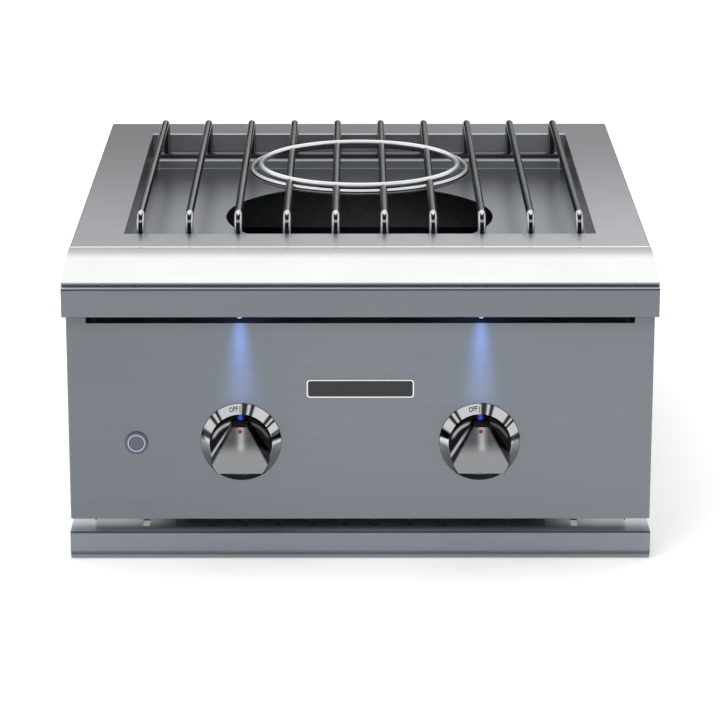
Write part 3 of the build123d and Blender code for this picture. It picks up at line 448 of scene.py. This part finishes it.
    def bump(self, height, strength, distance):
        bump = self.add("ShaderNodeBump", Strength=strength, Distance=distance)
        self.join(height, bump.inputs["Height"])
        self.feed("Normal", bump.outputs["Normal"])


def shade(color, factor):
    """The colour, lighter or darker."""
    return tuple(min(1.0, channel * factor) for channel in color)


def even(scale):
    """The same noise scale along X, Y and Z."""
    return (scale, scale, scale)


def brushed(name, color, grain, roughness, swing=0.16):
    """Brushed sheet: fine lines along the grain, and broad soft patches of roughness."""
    shader = Shader(name, metallic=1.0)
    lines = shader.noise(grain, detail=3.0)
    patches = shader.noise(even(PATCH_SCALE), detail=2.0)
    mixed = shader.plus(shader.product(lines, LINE_SHARE), shader.product(patches, 1 - LINE_SHARE))
    shader.feed("Base Color", shader.tint(mixed, color, (1 - swing, 1 + swing)))
    shader.roughen(mixed, roughness, BRUSH_ROUGH)
    shader.bump(lines, *BRUSH_BUMP)
    return shader


def polished(name, color, roughness, swing=0.05):
    """Polished metal with a faint uneven haze."""
    shader = Shader(name, metallic=1.0)
    haze = shader.noise(even(HAZE_SCALE), detail=5.0)
    fine = shader.noise(even(FINE_SCALE), detail=2.0)
    shader.feed("Base Color", shader.tint(haze, color, (1 - swing, 1 + swing)))
    shader.roughen(haze, roughness, HAZE_ROUGH)
    shader.bump(fine, *FINE_BUMP)
    return shader


def cast(name, color, roughness, grain=420.0, metallic=0.6):
    """Cast or moulded skin with a fine pebble."""
    shader = Shader(name, metallic=metallic)
    pebble = shader.noise(even(grain), detail=4.0)
    shader.feed("Base Color", shader.tint(pebble, color, PEBBLE_SWING))
    shader.roughen(pebble, roughness, PEBBLE_ROUGH)
    shader.bump(pebble, *PEBBLE_BUMP)
    return shader


def lit(name, color, strength):
    """Milky lit plastic with a soft unevenness."""
    shader = Shader(name, roughness=0.25)
    cloud = shader.noise(even(CLOUD_SCALE), detail=2.0)
    tint = shader.tint(cloud, color, CLOUD_SWING)
    shader.feed("Base Color", tint)
    shader.feed("Emission Color", tint)
    shader.set("Emission Strength", strength)
    return shader


def deck_metal(name, color, roughness, span, rear, left, back_wall_light):
    """Brushed sheet with painted highlights glowing along its folds and front seam, painted light on its back
    wall, and painted shade on its side walls and over a span to its rear and left.
    """
    shader = brushed(name, color, ACROSS, roughness, swing=0.06)
    x, y, z = shader.parts()
    # Painted shade: darker over a span to the rear, and towards the left
    depth = shader.spread(shader.fade(y, *span), 1.0, rear)
    width = shader.spread(shader.fade(x, *DECK_SIDES), left, 1.0)
    inside = shader.fade(shader.size(x), *DECK_INSIDE)
    seam = shader.hill(shader.minus(y, DECK_FRONT + SEAM_BACK), SEAM_WIDTH)
    x, y, z = shader.parts("Normal")
    # Painted shade on the side walls, and painted light on the back wall
    sides = shader.product(shader.fade(shader.size(x), *FACING), inside)
    sides = shader.spread(sides, 1.0, SIDE_WALL_SHADE)
    walls = shader.blend(shader.fade(y, *FACING_FRONT), sides, back_wall_light)
    shader.darken(shader.product(walls, depth, width))
    # Painted highlights glow along the folds and the front seam
    folds = shader.product(shader.front_folds(FOLD_RADIUS), FOLD_PAINTED_HIGHLIGHT)
    shader.glow(PAINTED_LIGHT_WHITE, shader.plus(folds, shader.product(seam, SEAM_PAINTED_HIGHLIGHT)))
    return shader


def pan_metal(name):
    """Burner pan sheet, made duller by painted shade, with painted light on its back wall and a painted
    highlight glowing along the top of that wall.
    """
    shader = deck_metal(name, PAN_COLOR, roughness=0.34, span=(0.02, 0.26), rear=0.33, left=0.95,
                        back_wall_light=4.0)
    x, y, z = shader.parts()
    # Painted highlight: a glowing line along the top of the back wall
    line = shader.hill(shader.minus(z, PAN_TOP - PAN_LINE_DROP), PAN_LINE_WIDTH)
    x, y, z = shader.parts("Normal")
    line = shader.product(line, shader.fade(y, *FACING_FRONT), PAN_LINE_PAINTED_HIGHLIGHT)
    shader.feed("Emission Strength", shader.plus(shader.source("Emission Strength"), line))
    return shader


def fascia_metal(name):
    """Brushed strip whose round top edge has painted reflections: a light band above a dark line and a light
    line.
    """
    shader = brushed(name, shade(SHEET_COLOR, 1 / FASCIA_FLAT), ACROSS, SHEET_ROUGHNESS, SHEET_SWING)
    x, y, z = shader.parts("Normal")
    # Painted reflection bands by how far the round top edge faces up
    shader.darken(shader.levels(z, FASCIA_PAINTED_BANDS))
    return shader


def tray_metal(name):
    """Brushed tray: painted shade where its hem steps in and on its bend, and painted light glowing at the
    ends of its top flange.
    """
    shader = brushed(name, shade(TRAY_COLOR, 1 / TRAY_FLAT), ACROSS, TRAY_ROUGHNESS, SHEET_SWING)
    x, y, z = shader.parts()
    behind = shader.minus(y, TRAY_FRONT)
    # Painted shade: the hem is darker where it steps in
    hem = shader.levels(shader.product(z, HEM_SCALE), HEM_SHADE_LEVELS)
    shader.darken(shader.blend(shader.fade(behind, *HEM_REAR), TRAY_FLAT, hem))
    depth = shader.product(shader.fade(behind, *FLANGE_START), shader.fade(behind, *FLANGE_STOP))
    ends = shader.product(shader.fade(shader.size(x), *FLANGE_ENDS), depth)
    lip = shader.fade(behind, *LIP_REAR)
    x, y, z = shader.parts("Normal")
    top = shader.fade(z, *FACING)
    bend = shader.product(shader.fade(z, *FOLD_UP), shader.fade(z, *LIP_TOP))
    # Painted shade on the bend behind the front
    shader.darken(shader.spread(shader.product(lip, bend), 1.0, LIP_SHADE))
    rough = shader.blend(shader.product(lip, top), shader.source("Roughness"), FLANGE_ROUGHNESS)
    shader.feed("Roughness", rough)
    shader.feed("Metallic", shader.spread(top, 1.0, FLANGE_METALLIC))
    # Painted light glowing at the top flange's ends
    shader.glow(PAINTED_LIGHT_WHITE, shader.product(ends, top, FLANGE_PAINTED_LIGHT))
    return shader


def rod_metal(name):
    """Polished rod with painted reflections: a light streak between dark flanks, a light rim round its front
    bend's dark core, and painted shade on its rear legs.
    """
    shader = polished(name, ROD_COLOR, roughness=0.12)
    shader.set("Metallic", ROD_METALLIC)
    shader.set("Specular IOR Level", ROD_SHINE)
    shader.set("Specular Tint", (*ROD_TINT, 1.0))
    x, y, z = shader.parts("Normal")
    across = shader.size(x)
    # Painted reflections: a light streak between dark flanks, and a light rim round the front bend's dark
    # core; painted shade on the rear legs
    streak = shader.levels(shader.centred(x), ROD_PAINTED_STREAK)
    bend = shader.blend(shader.fade(across, *BEND_CORE), BEND_RIM_HIGHLIGHT, shader.levels(z, BEND_PAINTED_SPOTS))
    leg = shader.spread(shader.fade(across, *LEG_EDGE), *LEG_SHADE_LEVELS)
    x, y, z = shader.parts()
    front = shader.fade(shader.minus(y, ROD_FRONT), *BEND_FRONT)
    rear = shader.fade(shader.minus(ROD_REAR, y), *BEND_REAR)
    shader.darken(shader.blend(rear, shader.blend(front, streak, bend), leg))
    return shader


def wire_metal(name, stops):
    """Polished ring with painted reflection bands set by how far its surface faces up, and painted shade at
    its left and right ends.
    """
    shader = polished(name, WIRE_COLOR, roughness=0.07)
    shader.set("Metallic", WIRE_METALLIC)
    x, y, z = shader.parts("Normal")
    # Painted reflection bands by how far the surface faces up
    shader.darken(shader.levels(shader.centred(z), stops))
    x, y, z = shader.parts()
    # Painted shade at the ring's left and right ends
    ends = shader.fade(shader.size(x), RING_R * RING_ENDS[0], RING_R * RING_ENDS[1])
    shader.darken(shader.spread(ends, 1.0, RING_END_SHADE))
    return shader


def ring_light(name):
    """Dark clear ring with a thin lit line round its middle."""
    shader = cast(name, BUTTON_RING_COLOR, roughness=0.3, grain=600.0, metallic=0.0)
    x, y, z = shader.parts()
    radius = shader.length(shader.minus(x, BUTTON_X), shader.minus(z, BUTTON_Z))
    line = shader.hill(shader.minus(radius, RING_LINE_R), RING_LINE_WIDTH)
    shader.glow(RING_LINE_COLOR, shader.product(line, RING_GLOW))
    return shader


def beam_metal(name):
    """Brushed panel with painted shade below the fascia and to the left, and a painted pool of light glowing
    below each lamp.
    """
    shader = brushed(name, SHEET_COLOR, ACROSS, SHEET_ROUGHNESS, SHEET_SWING)
    x, y, z = shader.parts()
    side = shader.minus(shader.size(x), KNOB_X)
    drop = shader.minus(BEAM_TOP, z)
    # Painted shade below the fascia and towards the panel's left
    shader.darken(shader.spread(shader.fade(drop, *EAVES_SHADE), EAVES_LEVEL, 1.0))
    shader.darken(shader.spread(shader.fade(x, *PANEL_LEFT), *PANEL_SHADE_LEVELS))
    # Painted pool of light glowing below each lamp
    width = shader.plus(shader.product(drop, BEAM_SPREAD), BEAM_START)
    share = shader.math("DIVIDE", drop, BEAM_LENGTH)
    fall = shader.levels(share, BEAM_FALL)
    shader.feed("Emission Color", shader.ramp(share, BEAM_COLOR, BEAM_END_COLOR, *BEAM_TINT))
    shader.feed("Emission Strength", shader.product(shader.hill(side, width), fall))
    return shader


def knob_metal(name):
    """Chrome painted dark, with a painted bright grip face and streak, a painted highlight line on its left
    flank, and painted reflection arcs and a painted glint on its base.
    """
    shader = polished(name, CHROME, roughness=0.14)
    x, y, z = shader.parts("Normal")
    flank = shader.product(shader.fade(x, *FLANK_LEFT), shader.fade(z, *FLANK_UP))
    face = shader.product(shader.fade(z, *GRIP_UP), shader.fade(z, *GRIP_NOT_TOP))
    face = shader.product(face, shader.fade(y, *GRIP_FRONT))
    x, y, z = shader.parts()
    reach = shader.minus(PANEL_Y, y)
    base = shader.fade(reach, *BASE_REACH)
    side, up = shader.from_knob()
    # Painted highlight: a white streak down the grip face; the grip face is painted bright and darker at its
    # top, the rest painted dark
    streak = shader.hill(shader.minus(side, STREAK_SIDE), STREAK_WIDTH)
    streak = shader.product(streak, shader.fade(up, *STREAK_HEIGHT))
    grip = shader.plus(shader.spread(shader.fade(up, *GRIP_SHADE), GRIP_SHADE_LEVEL, 1.0), streak)
    grip = shader.product(grip, face, shader.fade(reach, *GRIP_REACH))
    # Painted reflection arcs on the base
    turn = shader.size(shader.math("ARCTAN2", side, up))
    gap = shader.minus(shader.length(side, up), shader.plus(shader.product(turn, ARC_OPENING), ARC_R))
    arc = shader.product(shader.hill(gap, ARC_WIDTH), base)
    arc = shader.product(arc, shader.fade(turn, *ARC_START), shader.fade(turn, *ARC_STOP))
    arc = shader.product(arc, shader.spread(shader.fade(side, *ARC_SIDE), *ARC_LEVELS))
    shader.darken(shader.math("MAXIMUM", shader.plus(grip, arc), KNOB_DARKEST))
    # Painted glint of the lamp on the base, and a painted highlight line on the left flank, both glowing
    glint = shader.product(shader.hill(side, GLINT_WIDTH), shader.fade(up, *GLINT_HEIGHT), base)
    line = shader.hill(shader.minus(reach, FLANK_REACH), FLANK_WIDTH)
    line = shader.product(line, flank, shader.fade(up, *FLANK_HEIGHT))
    shader.feed("Emission Color", shader.ramp(line, GLINT_COLOR, FLANK_COLOR, *FLANK_TINT))
    glow = shader.plus(shader.product(glint, GLINT_STRENGTH), shader.product(line, FLANK_STRENGTH))
    shader.feed("Emission Strength", glow)
    return shader


def bezel_metal(name):
    """Turned chrome with painted reflections and shade: dark streaks that run out from the knob, a dark rim,
    a dark bore, and the knob's painted shadow below it.
    """
    shader = polished(name, CHROME, roughness=0.08)
    side, up = shader.from_knob()
    radius = shader.length(side, up)
    turn = shader.product(shader.math("ARCTAN2", side, up), 180 / math.pi)
    # Painted reflections: lighter above than below, with dark streaks that run out from the knob
    upper = shader.fade(up, *BEZEL_UPPER)
    level = shader.spread(upper, *BEZEL_LEVELS)
    for angle, half in BEZEL_REFLECTION_STREAKS:
        gap = shader.size(shader.minus(turn, angle))
        streak = shader.fade(gap, half * STREAK_EDGE[0], half * STREAK_EDGE[1])
        level = shader.product(level, shader.spread(streak, STREAK_LEVEL, 1.0))
    # Painted shade: a dark rim, a dark bore, and the knob's shadow over the lower part
    rim = shader.product(shader.fade(radius, BEZEL_R - RIM_IN[0], BEZEL_R - RIM_IN[1]), upper)
    rim = shader.spread(rim, 1.0, RIM_LEVEL)
    bore = shader.spread(shader.fade(radius, BEZEL_BORE_R, BEZEL_LIP_R), BORE_SHADE, 1.0)
    below = shader.spread(shader.fade(up, *KNOB_SHADOW), KNOB_SHADOW_LEVEL, 1.0)
    shader.darken(shader.product(level, rim, bore, below))
    return shader


def well_metal(name):
    """Dark sheet with painted shade that makes its floor far darker than its walls."""
    shader = cast(name, WELL_COLOR, roughness=0.55, grain=200.0, metallic=0.3)
    x, y, z = shader.parts("Normal")
    shader.darken(shader.spread(shader.fade(z, *WELL_WALL), WELL_FLOOR_SHADE, 1.0))
    return shader


# One material for each material slot, apart from panel_steel, whose two nodes have their own below
MATERIALS = {
    # The deck's rear and left levels are painted shade, and its back wall level is painted light
    "deck_steel": deck_metal("deck_steel", DECK_COLOR, roughness=0.36, span=(-0.25, 0.36), rear=0.58,
                             left=0.82, back_wall_light=1.9),
    "nose_steel": polished("nose_steel", (0.95, 0.955, 0.96), roughness=0.10, swing=0.03),
    "case_steel": brushed("case_steel", (0.34, 0.35, 0.36), even(60.0), roughness=0.42, swing=0.06),
    "pan_steel": pan_metal("pan_steel"),
    "well_steel": well_metal("well_steel"),
    "rod_steel": rod_metal("rod_steel"),
    "wok_wire": wire_metal("wok_wire", UPPER_RING_PAINTED_BANDS),
    "knob_chrome": knob_metal("knob_chrome"),
    "bezel_chrome": bezel_metal("bezel_chrome"),
    # The red marks glow faintly, though they hold no lamp: painted light
    "marker_red": lit("marker_red", (0.34, 0.008, 0.013), strength=0.04),
    "brass": polished("brass", (0.60, 0.44, 0.20), roughness=0.25),
    "burner_cast": cast("burner_cast", (0.045, 0.045, 0.047), roughness=0.6),
    "tube_steel": brushed("tube_steel", (0.42, 0.42, 0.42), ALONG_Y, roughness=0.4),
    "black_plastic": cast("black_plastic", (0.02, 0.02, 0.022), roughness=0.5, metallic=0.0),
    "white_insulator": cast("white_insulator", (0.78, 0.77, 0.73), roughness=0.2, grain=120.0, metallic=0.0),
    "lens_clear": lit("lens_clear", (0.62, 0.74, 1.0), strength=0.6),
    "light_ring": ring_light("light_ring"),
    "switch_steel": polished("switch_steel", (0.12, 0.13, 0.155), roughness=0.3),
    "screw_steel": polished("screw_steel", (0.40, 0.40, 0.41), roughness=0.3),
    "tray_steel": tray_metal("tray_steel"),
}

# Nodes with a material of their own
OWN_MATERIALS = {
    "control_panel": beam_metal("panel_painted_light"),
    "fascia": fascia_metal("fascia_metal"),
    # The cross bars are the rods' steel, set far darker as painted shade
    "grate_cross_bars": polished("rod_painted_shade", (0.16, 0.165, 0.175), roughness=0.16),
    "wok_ring_outer": wire_metal("low_wire", LOWER_RING_PAINTED_BANDS),
}

# Materials of the plate and the marks
RIM_METAL = polished("plate_rim", (0.70, 0.71, 0.72), roughness=0.2)
PLATE_FACE = cast("plate_face", (0.012, 0.012, 0.014), roughness=0.3, grain=900.0, metallic=0.0)
ETCHED = cast("etched_mark", (0.02, 0.02, 0.022), roughness=0.7, grain=900.0, metallic=0.0)


def dress_nodes():
    """Give each node of the frame its material."""
    for subpart in frame["record"]["subparts"]:
        shader = OWN_MATERIALS.get(subpart["node"]) or MATERIALS[subpart["material_slot"]]
        node = frame["nodes"][subpart["node"]]
        node.data.materials.clear()
        node.data.materials.append(shader.material)


def add_object(name, mesh, shader):
    """A new object with its material, in the scene."""
    made = bpy.data.objects.new(name, mesh)
    made.data.materials.append(shader.material)
    bpy.context.scene.collection.objects.link(made)
    return made


def add_piece(name, mesh, shader):
    """A small piece of trim that rides on the chassis."""
    piece = add_object(name, mesh, shader)
    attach(piece, "chassis")


def make_mesh(name, vertices, faces):
    mesh = bpy.data.meshes.new(name)
    mesh.from_pydata(vertices, [], faces)
    return mesh


def rounded_plate(name, width, height, radius, reach):
    """Flat plate with round corners, facing the user."""
    outline = []
    for turn in range(4):
        cx = (width / 2 - radius) * (1 if turn in (0, 3) else -1)
        cz = (height / 2 - radius) * (1 if turn in (0, 1) else -1) + PLATE_Z
        for step in range(CORNER_STEPS + 1):
            angle = math.radians(90 * (turn + step / CORNER_STEPS))
            outline.append((cx + radius * math.cos(angle), cz + radius * math.sin(angle)))
    count = len(outline)
    vertices = [(x, PANEL_Y - ahead, z) for ahead in reach for x, z in outline]
    faces = [tuple(range(count)), tuple(reversed(range(count, 2 * count)))]
    faces += [(i, i + count, (i + 1) % count + count, (i + 1) % count) for i in range(count)]
    mesh = make_mesh(name, vertices, faces)
    mesh.validate()
    return mesh


def make_plate():
    """Blank plate in the middle of the panel: a light rim round a plain dark face."""
    rim = rounded_plate("plate_rim", PLATE_WIDTH, PLATE_HEIGHT, PLATE_CORNER, PLATE_RIM_REACH)
    add_piece("plate_rim", rim, RIM_METAL)
    width = PLATE_WIDTH - 2 * PLATE_RIM
    height = PLATE_HEIGHT - 2 * PLATE_RIM
    face = rounded_plate("plate_face", width, height, PLATE_FACE_CORNER, PLATE_FACE_REACH)
    add_piece("plate_face", face, PLATE_FACE)


def on_cone(side, turn, rise):
    """Point just above a bezel's cone: turn is measured round the knob, rise up from the cone's lip."""
    slope = math.hypot(BEZEL_R - BEZEL_LIP_R, BEZEL_DEPTH)
    share = rise / slope
    radius = BEZEL_LIP_R + (BEZEL_R - BEZEL_LIP_R) * share + MARK_LIFT * BEZEL_DEPTH / slope
    forward = BEZEL_DEPTH * (1 - share) + MARK_LIFT * (BEZEL_R - BEZEL_LIP_R) / slope
    return (side * KNOB_X + radius * math.sin(turn), PANEL_Y - forward, KNOB_Z + radius * math.cos(turn))


def flat_word(word):
    """Flat mesh of a word, centred across."""
    curve = bpy.data.curves.new("off", "FONT")
    curve.body = word
    curve.size = OFF_SIZE
    curve.offset = OFF_WEIGHT
    curve.align_x = "CENTER"
    curve.resolution_u = OFF_CURVE_STEPS
    text = bpy.data.objects.new("off", curve)
    bpy.context.scene.collection.objects.link(text)
    bpy.context.view_layer.update()
    mesh = bpy.data.meshes.new_from_object(text.evaluated_get(bpy.context.evaluated_depsgraph_get()))
    bpy.data.objects.remove(text)
    bpy.data.curves.remove(curve)
    return mesh


def make_marks(label, side):
    """The word OFF and a red line at the top of a bezel."""
    radius = (BEZEL_R + BEZEL_LIP_R) / 2
    word = flat_word("OFF")
    for vertex in word.vertices:
        turn = math.radians(OFF_TURN) + OFF_NARROW * vertex.co.x / radius
        vertex.co = on_cone(side, turn, OFF_RISE + vertex.co.y)
    add_piece(label + "_off", word, ETCHED)
    half = TICK_HALF / radius
    start, end = TICK_RISE
    corners = [on_cone(side, TICK_TURN + half * way, rise)
               for way, rise in ((-1, start), (1, start), (1, end), (-1, end))]
    tick = make_mesh(label + "_tick", corners, [(0, 1, 2, 3)])
    add_piece(label + "_tick", tick, MATERIALS["marker_red"])


def make_card(name, y, height, levels):
    """Upright studio card that only metal and glass see, with a level for each share of its height."""
    shader = Shader(name, roughness=1.0)
    x, depth, z = shader.parts()
    shader.set("Base Color", (0.0, 0.0, 0.0, 1.0))
    shader.set("Specular IOR Level", 0.0)
    shader.set("Emission Strength", 1.0)
    shader.feed("Emission Color", shader.levels(shader.math("DIVIDE", z, height), levels))
    half = CARD_WIDTH / 2
    corners = [(-half, y, 0), (half, y, 0), (half, y, height), (-half, y, height)]
    card = add_object(name, make_mesh(name, corners, [(0, 1, 2, 3)]), shader)
    card.visible_camera = False
    card.visible_diffuse = False
    card.visible_shadow = False


def make_floor():
    """Pale floor that keeps the object's shadow, is whiter far away, and has painted shade below the object.
    """
    shader = Shader("floor", roughness=0.9)
    drift = shader.noise(even(FLOOR_SCALE), detail=2.0)
    shader.feed("Base Color", shader.tint(drift, FLOOR_COLOR, FLOOR_SWING))
    x, y, z = shader.parts()
    lift = shader.spread(shader.fade(shader.length(x, y), *FLOOR_FAR), FLOOR_LIFT, FLOOR_FAR_LIFT)
    # Painted shade: the floor's added light is left out under the object
    under = shader.product(shader.fade(shader.size(x), *UNDER_SIDES), shader.fade(y, *UNDER_REAR),
                           shader.fade(shader.minus(y, TRAY_FRONT), *UNDER_FRONT))
    path = shader.add("ShaderNodeLightPath")
    seen = shader.math("MAXIMUM", path.outputs["Is Camera Ray"], path.outputs["Is Glossy Ray"])
    seen = shader.math("MAXIMUM", seen, path.outputs["Is Transmission Ray"])
    shader.glow((1.0, 1.0, 1.0), shader.product(seen, lift, shader.spread(under, 1.0, 0.0)))
    half = FLOOR_SIZE / 2
    corners = [(-half, -half, 0), (half, -half, 0), (half, half, 0), (-half, half, 0)]
    floor = add_object("floor", make_mesh("floor", corners, [(0, 1, 2, 3)]), shader)


def make_world():
    """White surround that metal and glass show too, with a softer fill for everything else."""
    world = bpy.data.worlds.new("studio")
    bpy.context.scene.world = world
    world.use_nodes = True
    tree = world.node_tree
    ground = tree.nodes["Background"]
    ground.inputs["Color"].default_value = (1.0, 1.0, 1.0, 1.0)
    path = tree.nodes.new("ShaderNodeLightPath")
    seen = tree.nodes.new("ShaderNodeMath")
    seen.operation = "MAXIMUM"
    both = tree.nodes.new("ShaderNodeMath")
    both.operation = "MAXIMUM"
    level = tree.nodes.new("ShaderNodeMapRange")
    level.inputs["To Min"].default_value = WORLD_FILL
    level.inputs["To Max"].default_value = 1.0
    tree.links.new(path.outputs["Is Camera Ray"], seen.inputs[0])
    tree.links.new(path.outputs["Is Glossy Ray"], seen.inputs[1])
    tree.links.new(seen.outputs["Value"], both.inputs[0])
    tree.links.new(path.outputs["Is Transmission Ray"], both.inputs[1])
    tree.links.new(both.outputs["Value"], level.inputs["Value"])
    tree.links.new(level.outputs["Result"], ground.inputs["Strength"])


def make_light(name, place, size, power):
    """Soft square lamp that faces the object, and that no reflection shows."""
    data = bpy.data.lights.new(name, "AREA")
    data.size = size
    data.energy = power
    lamp = bpy.data.objects.new(name, data)
    lamp.location = place
    lamp.rotation_euler = (Vector(LAMP_AIM) - Vector(place)).to_track_quat("-Z", "Y").to_euler()
    lamp.visible_glossy = False
    bpy.context.scene.collection.objects.link(lamp)


def make_camera():
    """Camera at the photograph's viewing angle."""
    data = bpy.data.cameras.new("camera")
    data.lens = CAMERA_LENS
    data.sensor_width = CAMERA_SENSOR
    camera = bpy.data.objects.new("camera", data)
    camera.location = CAMERA_PLACE
    camera.rotation_euler = (math.radians(90 - CAMERA_PITCH), 0, math.radians(CAMERA_YAW))
    bpy.context.scene.collection.objects.link(camera)
    bpy.context.scene.camera = camera


dress_nodes()
make_plate()
make_marks("left", -1)
make_marks("right", 1)
make_floor()
make_world()
make_card("rear_card", REAR_CARD_Y, REAR_CARD_HEIGHT, REAR_CARD_LEVELS)
make_card("front_card", FRONT_CARD_Y, FRONT_CARD_HEIGHT, FRONT_CARD_LEVELS)
make_light("key", KEY_PLACE, KEY_SIZE, KEY_POWER)
make_light("top", TOP_PLACE, TOP_SIZE, TOP_POWER)
make_camera()
bpy.context.scene.view_settings.view_transform = "Standard"
